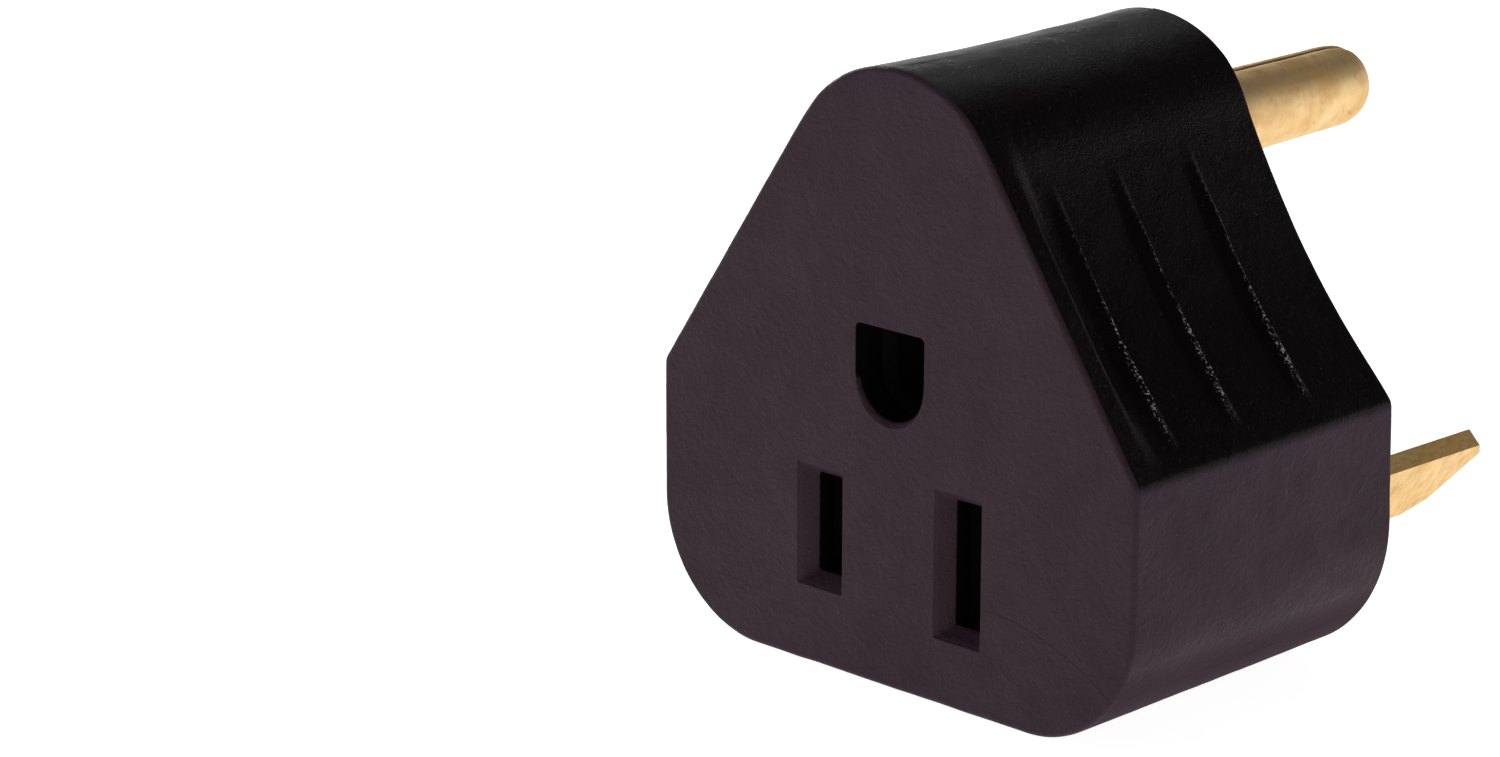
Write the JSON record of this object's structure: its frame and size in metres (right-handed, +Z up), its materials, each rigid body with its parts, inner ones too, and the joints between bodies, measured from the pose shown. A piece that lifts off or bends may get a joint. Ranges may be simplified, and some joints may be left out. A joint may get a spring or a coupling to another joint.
{
  "type": "moulded power adapter",
  "caption": "One-piece moulded adapter: trailer plug with two slanted flat blades and a round ground pin at the back, grounded household receptacle at the front.",
  "frame": {"origin": "under the middle of the whole adapter, blades included, on the flat bottom that it stands on", "axes": "+Z up towards the ridge and the ground pin; the receptacle face looks along -Y and the blades and pin point along +Y; +X is to the right of someone who looks at the receptacle face, the side of the longer neutral slot"},
  "size_m": [0.044, 0.048, 0.0429],
  "materials": {
    "overmold": "flexible black vinyl, fine matte grain on the receptacle face and satin on the flanks",
    "inner_plastic": "rigid dark moulded plastic",
    "blade_brass": "rolled sheet brass, satin, with fine diagonal marks",
    "pin_brass": "drawn sheet brass, bright",
    "contact_brass": "spring brass strip",
    "rivet_metal": "tin-plated, set heads"
  },
  "bodies": {
    "root": {"body_overmold": "overmold", "contact_housing": "inner_plastic", "housing_cover": "inner_plastic", "blade_carrier": "inner_plastic", "line_blade": "blade_brass", "neutral_blade": "blade_brass", "ground_pin": "pin_brass", "line_contact": "contact_brass", "neutral_contact": "contact_brass", "ground_contact": "contact_brass", "line_strap": "contact_brass", "neutral_strap": "contact_brass", "ground_strap": "contact_brass", "contact_rivets": "rivet_metal", "blade_rivets": "rivet_metal", "ground_pin_rivet": "rivet_metal"}
  },
  "joints": []
}
